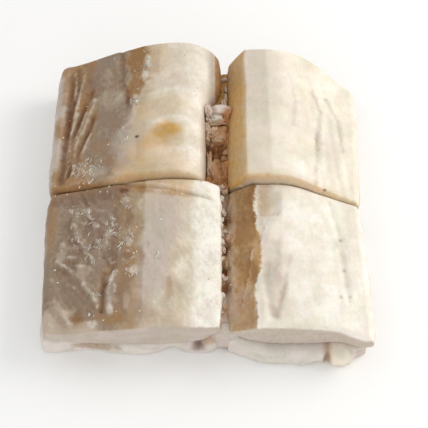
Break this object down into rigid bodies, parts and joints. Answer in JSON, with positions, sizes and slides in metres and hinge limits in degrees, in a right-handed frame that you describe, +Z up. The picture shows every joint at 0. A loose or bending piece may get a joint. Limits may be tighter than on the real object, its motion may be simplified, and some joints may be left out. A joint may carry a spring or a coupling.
{
  "type": "salted dried cod",
  "caption": "Salted dried cod: thick loin blocks cut across, laid two by two about a torn central groove, on a thinner layer cut at the same lines.",
  "frame": {"origin": "middle of the footprint, on the surface that the lower layer rests on", "axes": "+Z up, +Y along the fish towards the higher back row, +X across the fish; the front cut looks along -Y"},
  "size_m": [0.2162, 0.2388, 0.0562],
  "materials": {
    "loin_left": "satin, slightly waxy dried flesh",
    "loin_right": "satin, slightly waxy dried flesh",
    "under_layer": "matt dried flesh",
    "torn_flesh": "rough torn flesh"
  },
  "bodies": {
    "root": {"loin_back_left": "loin_left", "loin_front_left": "loin_left", "loin_back_right": "loin_right", "loin_front_right": "loin_right", "under_back_left": "under_layer", "under_back_right": "under_layer", "under_front_left": "under_layer", "under_front_right": "under_layer", "torn_flesh_back": "torn_flesh", "torn_flesh_middle": "torn_flesh", "torn_flesh_front": "torn_flesh"}
  },
  "joints": []
}
